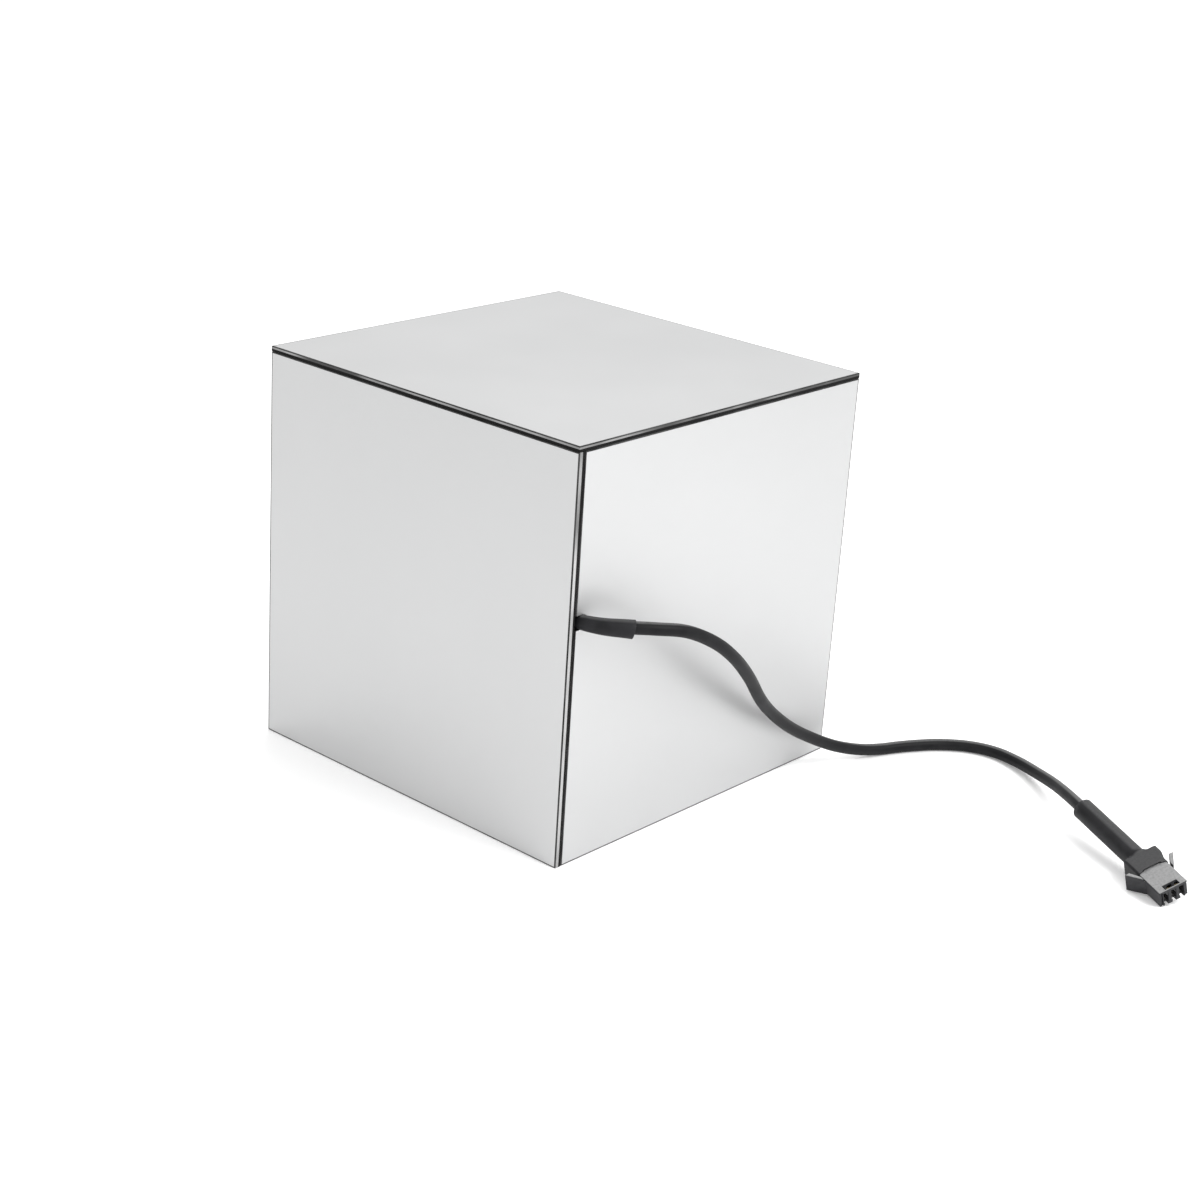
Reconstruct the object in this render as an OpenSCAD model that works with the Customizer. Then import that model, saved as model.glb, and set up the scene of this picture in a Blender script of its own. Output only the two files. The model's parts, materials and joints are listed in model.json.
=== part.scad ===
// Infinity mirror cube lamp: six one-way mirror panels taped to a light frame
// of twelve bars and eight corner blocks, with a light strip along every edge
// and a short three-core lead that ends in a latching inline plug.
// Millimetres. Origin at the centre of the cube's underside, +Z up.
// -Y is the front panel, and +X is the right panel, where the lead comes out.

/* [Cube] */
// Length of every side of the cube
cube_side = 120; // [95:1:150]
// Thickness of the mirrored acrylic panels
panel_t = 2; // [1.5:0.1:2.5]
// Open seam left between neighbouring panels
seam = 0.4; // [0.2:0.1:0.8]
// Thickness of the black foam tape behind each panel
tape_t = 0.3; // [0.2:0.05:0.6]
// Width of the black foam tape
tape_w = 9; // [6:0.5:10]

/* [Frame] */
// Side of the square that a frame bar is cut from
bar_side = 11; // [10:0.5:13]
// Width of the flat that a bar keeps against each panel
bar_flat = 3.5; // [3:0.1:4]
// Diameter of the bore down the middle of each bar
bore_d = 4.4; // [3.5:0.1:4.6]
// Radial clearance of the corner blocks' pegs in the bores
peg_gap = 0.05; // [0.02:0.01:0.1]
// Length of each peg
peg_len = 8; // [5:0.5:12]

/* [Light strips] */
// Width of the light strip's flexible board
strip_w = 8; // [6:0.5:8]
// Thickness of the board
strip_t = 0.3; // [0.2:0.05:0.5]
// Side of a light-emitting package
led_side = 3.5; // [2.5:0.1:5]
// Height of a light-emitting package
led_h = 1.6; // [1:0.1:2]
// Spacing of the packages, which is also the strip's cutting pitch
led_pitch = 16.6; // [12:0.1:20]
// Diameter of the insulated single wires
wire_d = 0.8; // [0.5:0.05:0.85]

/* [Lead] */
// Diameter of the three-core lead
cord_d = 3.6; // [3:0.1:4.4]
// How far the exit sleeve stands out from the lead where it enters the panel
sleeve_snug = 0.25; // [0.15:0.05:0.4]
// How far the exit sleeve stands out from the lead at its flared, cut end
sleeve_flare = 0.8; // [0.6:0.1:1.2]
// Length of the exit sleeve outside the panel
sleeve_len = 14; // [10:1:18]
// Outer diameter of the shrink boot behind the plug
boot_d = 6.3; // [5.8:0.1:7]

/* [Plug] */
// Width of the plug's nose across both latch levers
nose_w = 8.9; // [8.9:0.1:10]
// Height of the plug's nose
nose_h = 5.1; // [4.8:0.1:5.8]
// Length of the plug's housing
housing_len = 14.5; // [13.5:0.5:16]
// Spacing of the contacts
contact_pitch = 2.5; // [2.4:0.1:2.6]
// Width across the open latch levers
lever_span = 15.8; // [15:0.1:17]
// Thickness of a latch lever's front arm
lever_t = 0.8; // [0.6:0.1:1]
// Thickness of a latch lever's finger tab at its tip
tab_t = 1.2; // [1:0.1:1.5]
// Gap between a latch lever's front arm and the housing
lever_gap = 0.1; // [0.05:0.05:0.2]

/* [Hidden] */
$fn = 48;

// Cube, frame and strips
half = cube_side / 2;
frame_half = half - panel_t - tape_t;
frame_inner = frame_half - bar_side;
upright_h = cube_side - panel_t - seam;
inset_w = cube_side - 2 * (panel_t + seam);
slope_centre = (bar_side + bar_flat) / 2;
bore_place = bar_flat;
strip_count = floor((2 * frame_inner - 2) / led_pitch);
strip_len = strip_count * led_pitch;
through = 1;
slip = 0.1;
pad_setback = 1.5;
pad_pitch = 2.4;
pad_lift = strip_t + wire_d / 2;

// The lead's route: out through the right panel's notch, down beside the cube,
// along the ground and up a little into the plug's stiff boot
cord_r = cord_d / 2;
route = [
    [40, -54.6, 71], [46, -55.3, 71], [53, -55.9, 71], [60, -55.3, 71],
    [65.5, -53, 71], [70.5, -48.5, 71], [75, -42.5, 70.5], [78.5, -33.5, 68.5],
    [80, -23, 63], [79.5, -13, 55.5], [76.5, -2, 46], [72.5, 9.5, 35],
    [69.5, 20, 26.5], [68.5, 31, 18.5], [68.5, 42, 12], [70, 53, 6.5],
    [72.5, 63.5, 3], [75.5, 72, 1.8], [79.5, 80, 1.8], [85, 88, 1.8],
    [92, 94, 1.8], [100, 96.5, 1.9], [109, 95, 2.3], [118.5, 90.5, 3.4],
    [128.5, 83.8, 5.4], [138, 75.8, 7.6], [146.7, 68.9, 8.9], [156.7, 64.4, 7.7],
    [166.6, 60, 6.4]
];
steps_per_stretch = 2;
lead_line = grounded(smooth_points(route, steps_per_stretch), cord_r);
exit_z = route[0].z;
exit_y = cord_r - frame_half;
notch_gap = 0.15;
notch_r = cord_r + sleeve_snug + notch_gap;
notch_y = exit_y + 0.9;
slot_gap = 0.4;
slot_r = cord_r + slot_gap;
slot_y = exit_y + slot_gap;
sleeve_wall = 0.5;
sleeve_gap = 0.02;
sleeve_root_x = half - panel_t;
sleeve_line = [for (p = lead_line) if (p.x >= sleeve_root_x && norm(p - route[3]) <= sleeve_len) p];

// Single wires: where each leaves the jacket, drops and meets its pad
core_pitch = 0.9;
drop_pitch = 1.2;
core_bend_lift = 3.8;
tie_w = 2.4;
tie_wall = 0.7;
tie_head = [3.4, 4, 3];
tie_gap = 0.5;
tie_x = frame_inner - tie_head.x / 2 - tie_gap;
tie_share = (tie_x - route[0].x) / (route[1].x - route[0].x);
tie_place = route[0] + tie_share * (route[1] - route[0]);

// Plug: its own frame has +X out of the mouth, +Z on the window's side and its
// zero at the middle of the nose's front edge
plug_at = [186.6, 51.1, 3.95];
plug_turn = [20, 6.5, -24];
lid_t = 0.5;
lid_gap = 0.1;
recess_len = 8;
core_w = nose_w - 2 * lever_t - 2 * lever_gap;
cavity_w = 1.5;
cavity_h = 3.4;
window_w = 4.6;
window_len = 1.7;
window_setback = 0.4;
mouth_notch_w = 1;
mouth_notch_len = 1.4;
contact_w = 1.3;
contact_h = 2.2;
contact_front_x = -2.5;
crimp_x = -9;
crimp_end_x = -12.5;
crimp_h = 1.3;
crimp_z = crimp_h / 2 - cavity_h / 2;
hem_x = -9.2;
hem_dip = 0.9;
boot_wall = 0.35;
boot_corner_r = 1.2;
boot_shoulder_x = -0.7 - housing_len;
boot_neck_x = boot_shoulder_x - 3;
jacket_end_x = -22;
boot_end_x = -44;
lever_front_x = -0.3;
lever_elbow_x = -6.3;
lever_tip_x = -11.3;
tab_rise = 0.4;
squeeze_gap = 0.3;

// ---------- shared shapes ----------

function unit(v) = v / norm(v);

// One point of a smooth curve that runs through b and c
function curve_point(a, b, c, d, t) =
    0.5 * (2 * b + (c - a) * t + (2 * a - 5 * b + 4 * c - d) * t * t
           + (3 * b - 3 * c + d - a) * t * t * t);

// The points of a smooth curve through all of a route, with steps per stretch
function smooth_points(points, steps) = [
    for (i = [0 : len(points) - 2])
        for (j = [0 : steps - 1])
            curve_point(points[max(i - 1, 0)], points[i], points[i + 1],
                        points[min(i + 2, len(points) - 1)], j / steps),
    points[len(points) - 1]
];

// Keeps a tube of radius r from sinking below the ground
function grounded(points, r) = [for (p = points) [p.x, p.y, max(p.z, r)]];

function heading(points, i) =
    unit(points[min(i + 1, len(points) - 1)] - points[max(i - 1, 0)]);

// One ring of a swept tube, square to the route, with one corner level with up
function ring(centre, forward, r, sides, up) =
    let (side = unit(cross(forward, up)), rise = cross(side, forward))
    [for (k = [0 : sides - 1]) centre + r * (cos(360 * k / sides) * side
                                             + sin(360 * k / sides) * rise)];

// A closed tube that follows points, with its own radius at each of them; it
// never runs parallel to up
module swept_tube(points, radii, sides, up = [0, 0, 1]) {
    count = len(points);
    rings = [for (i = [0 : count - 1]) ring(points[i], heading(points, i), radii[i], sides, up)];
    skin = [
        for (i = [0 : count - 2]) for (k = [0 : sides - 1])
            [i * sides + k, i * sides + (k + 1) % sides,
             (i + 1) * sides + (k + 1) % sides, (i + 1) * sides + k]
    ];
    start_cap = [for (k = [0 : sides - 1]) sides - 1 - k];
    end_cap = [for (k = [0 : sides - 1]) (count - 1) * sides + k];
    polyhedron([for (row = rings) for (p = row) p], concat(skin, [start_cap, end_cap]));
}

// The same corners, each eased by three points within r of it
function eased(points, r) =
    let (last = len(points) - 1)
    concat([points[0]], [
        for (i = [1 : last - 1])
            let (into = unit(points[i] - points[i - 1]), out = unit(points[i + 1] - points[i]))
            each [points[i] - r * into, points[i] + r / 4 * (out - into), points[i] + r * out]
    ], [points[last]]);

// A wire along a list of points, with eased bends
module wire(points, up) {
    line = eased(points, wire_d);
    swept_tube(line, [for (p = line) wire_d / 2], 8, up);
}

// ---------- mirrored panels ----------

module panel(size) {
    color([0.86, 0.87, 0.88]) translate([-size.x / 2, -size.y / 2, 0]) cube(size);
}

// The top panel covers the top edges of all four upright panels
module top_panel() {
    translate([0, 0, upright_h + seam]) panel([cube_side, cube_side, panel_t]);
}

// The bottom panel lies between the upright panels
module bottom_panel() {
    panel([inset_w, inset_w, panel_t]);
}

// The front panel runs the full width and covers the side panels' front edges
module front_panel() {
    translate([0, panel_t / 2 - half, 0]) panel([cube_side, panel_t, upright_h]);
}

// The back panel lies between the side panels
module back_panel() {
    translate([0, half - panel_t / 2, 0]) panel([inset_w, panel_t, upright_h]);
}

// A side panel runs from the front panel to the back of the cube
module side_panel() {
    depth = cube_side - panel_t - seam;
    translate([half - panel_t / 2, half - depth / 2, 0]) panel([panel_t, depth, upright_h]);
}

// The space that the sleeved lead needs at the edge of the right panel
module exit_notch() {
    depth = panel_t + tape_t + 2 * through;
    translate([frame_half - through, notch_y, exit_z]) rotate([0, 90, 0])
        cylinder(r = notch_r, h = depth);
    translate([frame_half - through, -half, exit_z - notch_r])
        cube([depth, notch_y + half, 2 * notch_r]);
}

module right_panel() {
    difference() {
        side_panel();
        exit_notch();
    }
}

// ---------- foam tape ----------

// A square ring of tape against the frame's +Z side
module tape_ring() {
    window = 2 * (frame_half - tape_w);
    color([0.05, 0.05, 0.05]) translate([0, 0, frame_half + tape_t / 2]) difference() {
        cube([2 * frame_half, 2 * frame_half, tape_t], center = true);
        cube([window, window, tape_t + through], center = true);
    }
}

module tape(turn) {
    translate([0, 0, half]) rotate(turn) tape_ring();
}

module right_tape() {
    difference() {
        tape([0, 90, 0]);
        exit_notch();
    }
}

// ---------- frame ----------

// Section of a bar: its outer corner is at zero and its slope faces inwards
module bar_section() {
    polygon([[0, 0], [bar_side, 0], [bar_side, bar_flat], [bar_flat, bar_side], [0, bar_side]]);
}

module bar() {
    color([0.16, 0.16, 0.17]) difference() {
        linear_extrude(2 * frame_inner, center = true) bar_section();
        translate([bore_place, bore_place, 0])
            cylinder(d = bore_d, h = 2 * frame_inner + 2 * through, center = true);
    }
}

// Puts what follows +Z onto an upright edge; quarters count from front left
module on_post(quarter) {
    translate([0, 0, half]) rotate([0, 0, 90 * quarter])
        translate([-frame_half, -frame_half, 0]) children();
}

// Puts what follows +Z onto a level edge; quarters count from the front
module on_rail(is_top, quarter) {
    up = is_top ? 1 : -1;
    translate([0, 0, half]) rotate([0, 0, 90 * quarter])
        translate([0, -frame_half, up * frame_half])
            rotate([0, up * 90, 0]) children();
}

module rail(is_top, quarter) {
    on_rail(is_top, quarter) bar();
}

module post(quarter) {
    on_post(quarter) bar();
}

// The front right post has a slot that the lead passes through
module front_right_post() {
    depth = bar_side + 2 * through;
    difference() {
        post(1);
        translate([frame_inner - through, slot_y, exit_z]) rotate([0, 90, 0])
            cylinder(r = slot_r, h = depth);
        translate([frame_inner - through, -half, exit_z - slot_r])
            cube([depth, slot_y + half, 2 * slot_r]);
    }
}

module peg() {
    translate([bore_place, bore_place, bar_side])
        cylinder(d = bore_d - 2 * peg_gap, h = peg_len);
}

// Turns what follows +Z so that it follows +X, or +Y, from the same corner
module along_x() {
    rotate([90, 0, 90]) children();
}

module along_y() {
    rotate([-90, -90, 0]) children();
}

// A corner block: the space that three bars would share, with a peg for each
module corner_block() {
    color([0.12, 0.12, 0.13]) union() {
        intersection() {
            linear_extrude(bar_side) bar_section();
            along_x() linear_extrude(bar_side) bar_section();
            along_y() linear_extrude(bar_side) bar_section();
        }
        peg();
        along_x() peg();
        along_y() peg();
    }
}

module corner(is_top, quarter) {
    translate([0, 0, half]) rotate([0, 0, 90 * quarter]) mirror([0, 0, is_top ? 1 : 0])
        translate([-frame_half, -frame_half, -frame_half]) corner_block();
}

// ---------- light strips ----------

// Puts what lies on the XY axes onto a bar's slope: +X points inwards, +Y across
module on_slope() {
    translate([slope_centre, slope_centre, 0]) rotate([0, 0, 45]) children();
}

module strip() {
    color([0.93, 0.93, 0.9]) on_slope()
        translate([0, -strip_w / 2, -strip_len / 2]) cube([strip_t, strip_w, strip_len]);
}

// One light-emitting package with its shallow round well
module light() {
    well_depth = 0.4;
    well_share = 0.8;
    difference() {
        translate([0, -led_side / 2, -led_side / 2]) cube([led_h, led_side, led_side]);
        translate([led_h - well_depth, 0, 0]) rotate([0, 90, 0])
            cylinder(d = led_side * well_share, h = well_depth + through);
    }
}

module light_row() {
    color([0.95, 0.93, 0.75]) on_slope()
        for (i = [0 : strip_count - 1])
            translate([strip_t, 0, (i + 0.5) * led_pitch - strip_len / 2]) light();
}

module top_lights() {
    for (quarter = [0 : 3]) on_rail(true, quarter) light_row();
}

module bottom_lights() {
    for (quarter = [0 : 3]) on_rail(false, quarter) light_row();
}

module post_lights() {
    for (quarter = [0 : 3]) on_post(quarter) light_row();
}

// ---------- single wires ----------

// Distance along a bar from the frame's outer corner to a strip's solder pads
pad_place = frame_half - strip_len / 2 + pad_setback;

// Three short wires round a corner, from a post's strip to a rail's strip
module corner_jumper() {
    bend_lift = 2.4;
    bend_reach = 4;
    bend_place = pad_place - bend_reach;
    for (k = [-1 : 1]) {
        across = k * pad_pitch / sqrt(2);
        low = slope_centre + pad_lift / sqrt(2);
        high = slope_centre + bend_lift / sqrt(2);
        wire([
            [low - across, low + across, pad_place],
            [high - across, high + across, bend_place],
            [bend_place, high + across, high - across],
            [pad_place, low + across, low - across]
        ], [0, 1, 0]);
    }
}

module jumper_wires() {
    color([0.75, 0.1, 0.1])
        for (quarter = [0 : 3]) for (flip = [0, 1])
            translate([0, 0, half]) rotate([0, 0, 90 * quarter]) mirror([0, 0, flip])
                translate([-frame_half, -frame_half, -frame_half]) corner_jumper();
}

// The lead's three cores inside the cube, down to the front right post's strip
module inner_wires() {
    jacket_end = route[0];
    face = frame_half - slope_centre;
    first_pad_z = half - frame_half + pad_place + core_bend_lift;
    color([0.1, 0.5, 0.15]) for (k = [0 : 2]) {
        y = jacket_end.y + (k - 1) * core_pitch;
        x = jacket_end.x - (k + 1) * drop_pitch;
        z = first_pad_z - k * drop_pitch;
        across = (k - 1) * pad_pitch / sqrt(2);
        lift = pad_lift / sqrt(2);
        wire([
            [jacket_end.x, y, jacket_end.z], [x, y, jacket_end.z], [x, y, z],
            [face + across - lift, across + lift - face, z]
        ], [0, 1, 0]);
    }
}

// ---------- lead ----------

module cord() {
    color([0.13, 0.13, 0.14])
        swept_tube(lead_line, [for (p = lead_line) cord_r], 8);
}

// A ratchet tie on the lead's jacket, so that a pull can't reach the strip
module cable_tie() {
    color([0.9, 0.9, 0.88]) translate(tie_place) difference() {
        union() {
            rotate([0, 90, 0]) cylinder(r = cord_r + tie_wall, h = tie_w, center = true);
            translate([0, 0, cord_r + tie_head.z / 2]) cube(tie_head, center = true);
        }
        rotate([0, 90, 0]) cylinder(r = cord_r, h = tie_head.x + 2 * through, center = true);
    }
}

// Shrink sleeve at the exit: snug at the panel and flared at its cut end
module exit_sleeve() {
    last = len(sleeve_line) - 1;
    flare = [for (i = [0 : last]) i / last];
    outer = [for (t = flare) cord_r + sleeve_snug + t * (sleeve_flare - sleeve_snug)];
    inner = [for (r = outer) max(cord_r + sleeve_gap, r - sleeve_wall)];
    color([0.09, 0.09, 0.1]) difference() {
        swept_tube(sleeve_line, outer, 12);
        swept_tube(lengthened(sleeve_line), concat([inner[0]], inner, [inner[last]]), 12);
    }
}

// The same line with a little more at each end, so that a cut goes right through
function lengthened(points) =
    let (last = len(points) - 1)
    concat([points[0] - through * unit(points[1] - points[0])], points,
           [points[last] + through * unit(points[last] - points[last - 1])]);

// ---------- plug ----------

module at_plug() {
    translate(plug_at) rotate(plug_turn) children();
}

// The block that the boot grips, grown by a wall on every side
module housing_block(from_x, to_x, grow) {
    w = nose_w + 2 * grow;
    h = nose_h + 2 * grow;
    translate([from_x, -w / 2, -h / 2]) cube([to_x - from_x, w, h]);
}

module plug_housing() {
    color([0.2, 0.2, 0.21]) at_plug() difference() {
        housing_block(-housing_len, 0, 0);
        for (side = [-1, 1]) latch_recess(side);
        for (k = [-1 : 1]) {
            translate([-housing_len - through, k * contact_pitch - cavity_w / 2, -cavity_h / 2])
                cube([housing_len + 2 * through, cavity_w, cavity_h]);
            translate([-mouth_notch_len, k * contact_pitch - mouth_notch_w / 2, -nose_h])
                cube([mouth_notch_len + through, mouth_notch_w, nose_h]);
        }
        translate([-window_setback - window_len, -window_w / 2, 0])
            cube([window_len, window_w, nose_h]);
    }
}

// The recess under the lid that a latch lever's front arm lies in
module latch_recess(side) {
    depth = (nose_w - core_w) / 2;
    lid_z = nose_h / 2 - lid_t;
    translate([-recess_len, side * (core_w / 2 + depth), -nose_h / 2 - through])
        translate([0, side > 0 ? -depth : -through, 0])
            cube([recess_len + through, depth + through, lid_z + nose_h / 2 + through]);
}

// Outline of a latch lever seen from above: front arm, elbow and flared tail
module lever_outline() {
    outer = nose_w / 2;
    tail_run = lever_elbow_x - lever_tip_x;
    tail_rise = lever_span / 2 - outer;
    tail_len = norm([tail_run, tail_rise]);
    tab_skew = tab_t * tail_len / tail_run;
    inner_elbow_x = lever_elbow_x + lever_t * (tail_len - tail_run) / tail_rise;
    polygon([
        [lever_front_x, outer], [lever_front_x, outer - lever_t],
        [inner_elbow_x, outer - lever_t], [lever_tip_x, lever_span / 2 - tab_skew],
        [lever_tip_x, lever_span / 2], [lever_elbow_x, outer]
    ]);
}

// A latch lever: low under the lid, and a taller tab where it stands clear of it
module latch(side) {
    low_h = nose_h - lid_t - lid_gap;
    tab_h = nose_h + tab_rise;
    clear_y = nose_w / 2 + squeeze_gap;
    color([0.22, 0.22, 0.23]) at_plug() mirror([0, side > 0 ? 0 : 1, 0])
        translate([0, 0, -nose_h / 2]) {
            linear_extrude(low_h) lever_outline();
            intersection() {
                linear_extrude(tab_h) lever_outline();
                translate([lever_tip_x, clear_y, 0]) cube([-lever_tip_x, lever_span, tab_h]);
            }
        }
}

module plug_contacts() {
    sheet = 0.25;
    socket_len = contact_front_x - crimp_x;
    color([0.8, 0.65, 0.3]) at_plug() for (k = [-1 : 1])
        translate([0, k * contact_pitch, -cavity_h / 2]) {
            difference() {
                translate([crimp_x, -contact_w / 2, 0]) cube([socket_len, contact_w, contact_h]);
                translate([crimp_x + sheet, sheet - contact_w / 2, sheet])
                    cube([socket_len, contact_w - 2 * sheet, contact_h - 2 * sheet]);
            }
            translate([crimp_end_x, -contact_w / 2, 0])
                cube([crimp_x - crimp_end_x, contact_w, crimp_h]);
        }
}

// The three cores from the end of the jacket to the contacts' crimps
module plug_wires() {
    fan_end_x = -housing_len - 0.2;
    color([0.1, 0.1, 0.5]) at_plug() for (k = [-1 : 1])
        wire([
            [jacket_end_x, k * core_pitch, 0], [jacket_end_x + 1, k * core_pitch, 0],
            [fan_end_x, k * contact_pitch, crimp_z], [crimp_end_x, k * contact_pitch, crimp_z]
        ], [0, 0, 1]);
}

// Shrink boot: a stiff tube round the jacket that opens out over the housing
module plug_boot() {
    dip_half = nose_w / 2 + boot_wall;
    dip_r = (dip_half * dip_half + hem_dip * hem_dip) / (2 * hem_dip);
    room_wall = 0.45;
    room_d = boot_d - 2 * room_wall;
    fan_side = 1.4;
    fan_room = [2, 2 * contact_pitch + fan_side, 4];
    neck_ring = 0.4;
    color([0.1, 0.1, 0.11]) at_plug() difference() {
        union() {
            translate([boot_end_x, 0, 0]) rotate([0, 90, 0])
                cylinder(d = boot_d, h = boot_neck_x - boot_end_x);
            hull() {
                translate([boot_neck_x, 0, 0]) rotate([0, 90, 0]) cylinder(d = boot_d, h = neck_ring);
                boot_slab(boot_shoulder_x, boot_shoulder_x + 1);
            }
            boot_slab(boot_shoulder_x, hem_x);
        }
        housing_block(-housing_len, through, 0);
        translate([jacket_end_x, 0, 0]) rotate([0, 90, 0])
            cylinder(d = room_d, h = -housing_len - jacket_end_x + slip);
        translate([slip - housing_len - fan_room.x, -fan_room.y / 2, -fan_room.z / 2])
            cube(fan_room);
        translate([boot_end_x - through, 0, 0]) rotate([0, 90, 0])
            cylinder(d = cord_d + slip, h = jacket_end_x - boot_end_x + 2 * through);
        translate([hem_x - hem_dip + dip_r, 0, 0])
            cylinder(r = dip_r, h = 2 * nose_h, center = true, $fn = 96);
    }
}

// A stretch of the boot's outside where it wraps the housing, with round edges
module boot_slab(from_x, to_x) {
    w = nose_w + 2 * boot_wall - 2 * boot_corner_r;
    h = nose_h + 2 * boot_wall - 2 * boot_corner_r;
    translate([from_x, 0, 0]) rotate([90, 0, 90]) linear_extrude(to_x - from_x) {
        square([w + 2 * boot_corner_r, h], center = true);
        square([w, h + 2 * boot_corner_r], center = true);
        for (sx = [-1, 1], sy = [-1, 1])
            translate([sx * w / 2, sy * h / 2]) circle(r = boot_corner_r, $fn = 32);
    }
}

// ---------- assembly ----------

top_panel();
bottom_panel();
front_panel();
right_panel();
back_panel();
mirror([1, 0, 0]) side_panel();  // left_panel
tape([0, 0, 0]);  // top_tape
tape([180, 0, 0]);  // bottom_tape
tape([90, 0, 0]);  // front_tape
right_tape();
tape([-90, 0, 0]);  // back_tape
tape([0, -90, 0]);  // left_tape
rail(true, 0);  // top_front_rail
rail(true, 1);  // top_right_rail
rail(true, 2);  // top_back_rail
rail(true, 3);  // top_left_rail
rail(false, 0);  // bottom_front_rail
rail(false, 1);  // bottom_right_rail
rail(false, 2);  // bottom_back_rail
rail(false, 3);  // bottom_left_rail
post(0);  // front_left_post
front_right_post();
post(2);  // back_right_post
post(3);  // back_left_post
corner(false, 0);  // bottom_front_left_corner
corner(false, 1);  // bottom_front_right_corner
corner(false, 2);  // bottom_back_right_corner
corner(false, 3);  // bottom_back_left_corner
corner(true, 0);  // top_front_left_corner
corner(true, 1);  // top_front_right_corner
corner(true, 2);  // top_back_right_corner
corner(true, 3);  // top_back_left_corner
on_rail(true, 0) strip();  // top_front_strip
on_rail(true, 1) strip();  // top_right_strip
on_rail(true, 2) strip();  // top_back_strip
on_rail(true, 3) strip();  // top_left_strip
on_rail(false, 0) strip();  // bottom_front_strip
on_rail(false, 1) strip();  // bottom_right_strip
on_rail(false, 2) strip();  // bottom_back_strip
on_rail(false, 3) strip();  // bottom_left_strip
on_post(0) strip();  // front_left_strip
on_post(1) strip();  // front_right_strip
on_post(2) strip();  // back_right_strip
on_post(3) strip();  // back_left_strip
top_lights();
bottom_lights();
post_lights();
jumper_wires();
inner_wires();
cable_tie();
cord();
exit_sleeve();
plug_boot();
plug_wires();
plug_housing();
plug_contacts();
latch(-1);  // near_latch
latch(1);  // far_latch
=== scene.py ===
"""A mirror cube lamp, unlit: six satin mirror panels with sawn acrylic edges on a
hidden frame, and a short black lead with shrink sleeves and a latching plug.
Lengths are in metres, in the CAD model's own frame."""

import json
import math
import bpy
from mathutils import Matrix, Vector


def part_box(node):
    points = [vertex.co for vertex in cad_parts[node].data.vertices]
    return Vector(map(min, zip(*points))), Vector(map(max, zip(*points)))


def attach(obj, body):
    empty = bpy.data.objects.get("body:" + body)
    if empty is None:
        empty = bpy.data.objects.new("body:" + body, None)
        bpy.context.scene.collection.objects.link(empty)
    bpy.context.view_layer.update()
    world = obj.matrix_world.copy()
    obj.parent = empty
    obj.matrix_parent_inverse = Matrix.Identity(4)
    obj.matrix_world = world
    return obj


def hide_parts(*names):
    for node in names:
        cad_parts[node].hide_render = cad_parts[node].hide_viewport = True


MM = 0.001

# Camera
CAMERA_PLACE = (0.42617, -0.47089, 0.28884)
CAMERA_AZIMUTH = 40.92
CAMERA_ELEVATION = 20.881
CAMERA_ROLL = 3.706
CAMERA_LENS = 68.06
SENSOR_WIDTH = 36

# Mirror panels: film outside, acrylic, and a black backing. The dark rim, painted shade along
# the panel's edges, is RIM_MARGIN wide on the film and RIM_LINE deep on the sawn edge. The top
# panel loses TOP_TRIM below and the uprights gain UPRIGHT_LIFT above, so that the seam between them is narrow.
RIM_BEVEL = 0.12 * MM
RIM_MARGIN = 0.38 * MM
RIM_LINE = 0.3 * MM
BACKING = 0.7 * MM
TOP_TRIM = 0.5 * MM
UPRIGHT_LIFT = 0.72 * MM
NOTCH_GAP = 0.06 * MM
NOTCH_SHIFT = 0.3 * MM

# Lead, from inside the cube to inside the plug's boot
LEAD_DIAMETER = 3.6 * MM
LEAD_ROUTE = [
    (40, -54.6, 71), (46, -55.3, 71), (53, -55.9, 71), (60, -55.3, 71),
    (65.5, -53, 71), (70.5, -48.5, 71), (75, -42.5, 70.5), (78.5, -33.5, 68.5),
    (80, -23, 63), (79.5, -13, 55.5), (76.5, -2, 46), (72.5, 9.5, 35),
    (69.5, 20, 26.5), (68.5, 31, 18.5), (68.5, 42, 12), (70, 53, 6.5),
    (72.5, 63.5, 3), (75.5, 72, 1.8), (79.5, 80, 1.8), (85, 88, 1.8),
    (92, 94, 1.8), (100, 96.5, 1.9), (109, 95, 2.3), (118.5, 90.5, 3.4),
    (128.5, 83.8, 5.4), (138, 75.8, 7.6), (146.7, 68.9, 8.9), (156.7, 64.4, 7.7),
    (166.6, 60, 6.4),
]
EXIT_POINT = 3

# Exit sleeve
SLEEVE_ROOT_DIAMETER = 4.1 * MM
SLEEVE_END_DIAMETER = 5.2 * MM
SLEEVE_LENGTH = 14 * MM
SLEEVE_WALL = 0.5 * MM
SLEEVE_SAG = 0.45 * MM
SLEEVE_SLANT = 0.9 * MM
SLEEVE_STEPS = 18
SLEEVE_EASE = 0.1 * MM
SLEEVE_STRETCHES = 5
FINE_STEPS = 40

# Plug boot, in the plug's own frame: +X out of the mouth, +Z on the window's side
BOOT_DIAMETER = 6.3 * MM
BOOT_WALL = 0.35 * MM
BOOT_CORNER = 0.7 * MM
BOOT_HEM_STEPS = 12
BOOT_HEM = -9.2 * MM
BOOT_HEM_DIP = 0.9 * MM
BOOT_SHOULDER = -16.4 * MM
BOOT_SHOULDER_STEPS = 10
BOOT_NECK = -17.8 * MM
BOOT_NECK_STEPS = 26
BOOT_BULGE = 0.22
BOOT_BULGE_START = -10.4 * MM
BOOT_BULGE_RAMP = 4 * MM
BOOT_END = -44 * MM
BOOT_COLLAR = 3 * MM
COLLAR_FIT = 1.03
BOOT_EASE = 0.12 * MM

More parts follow.
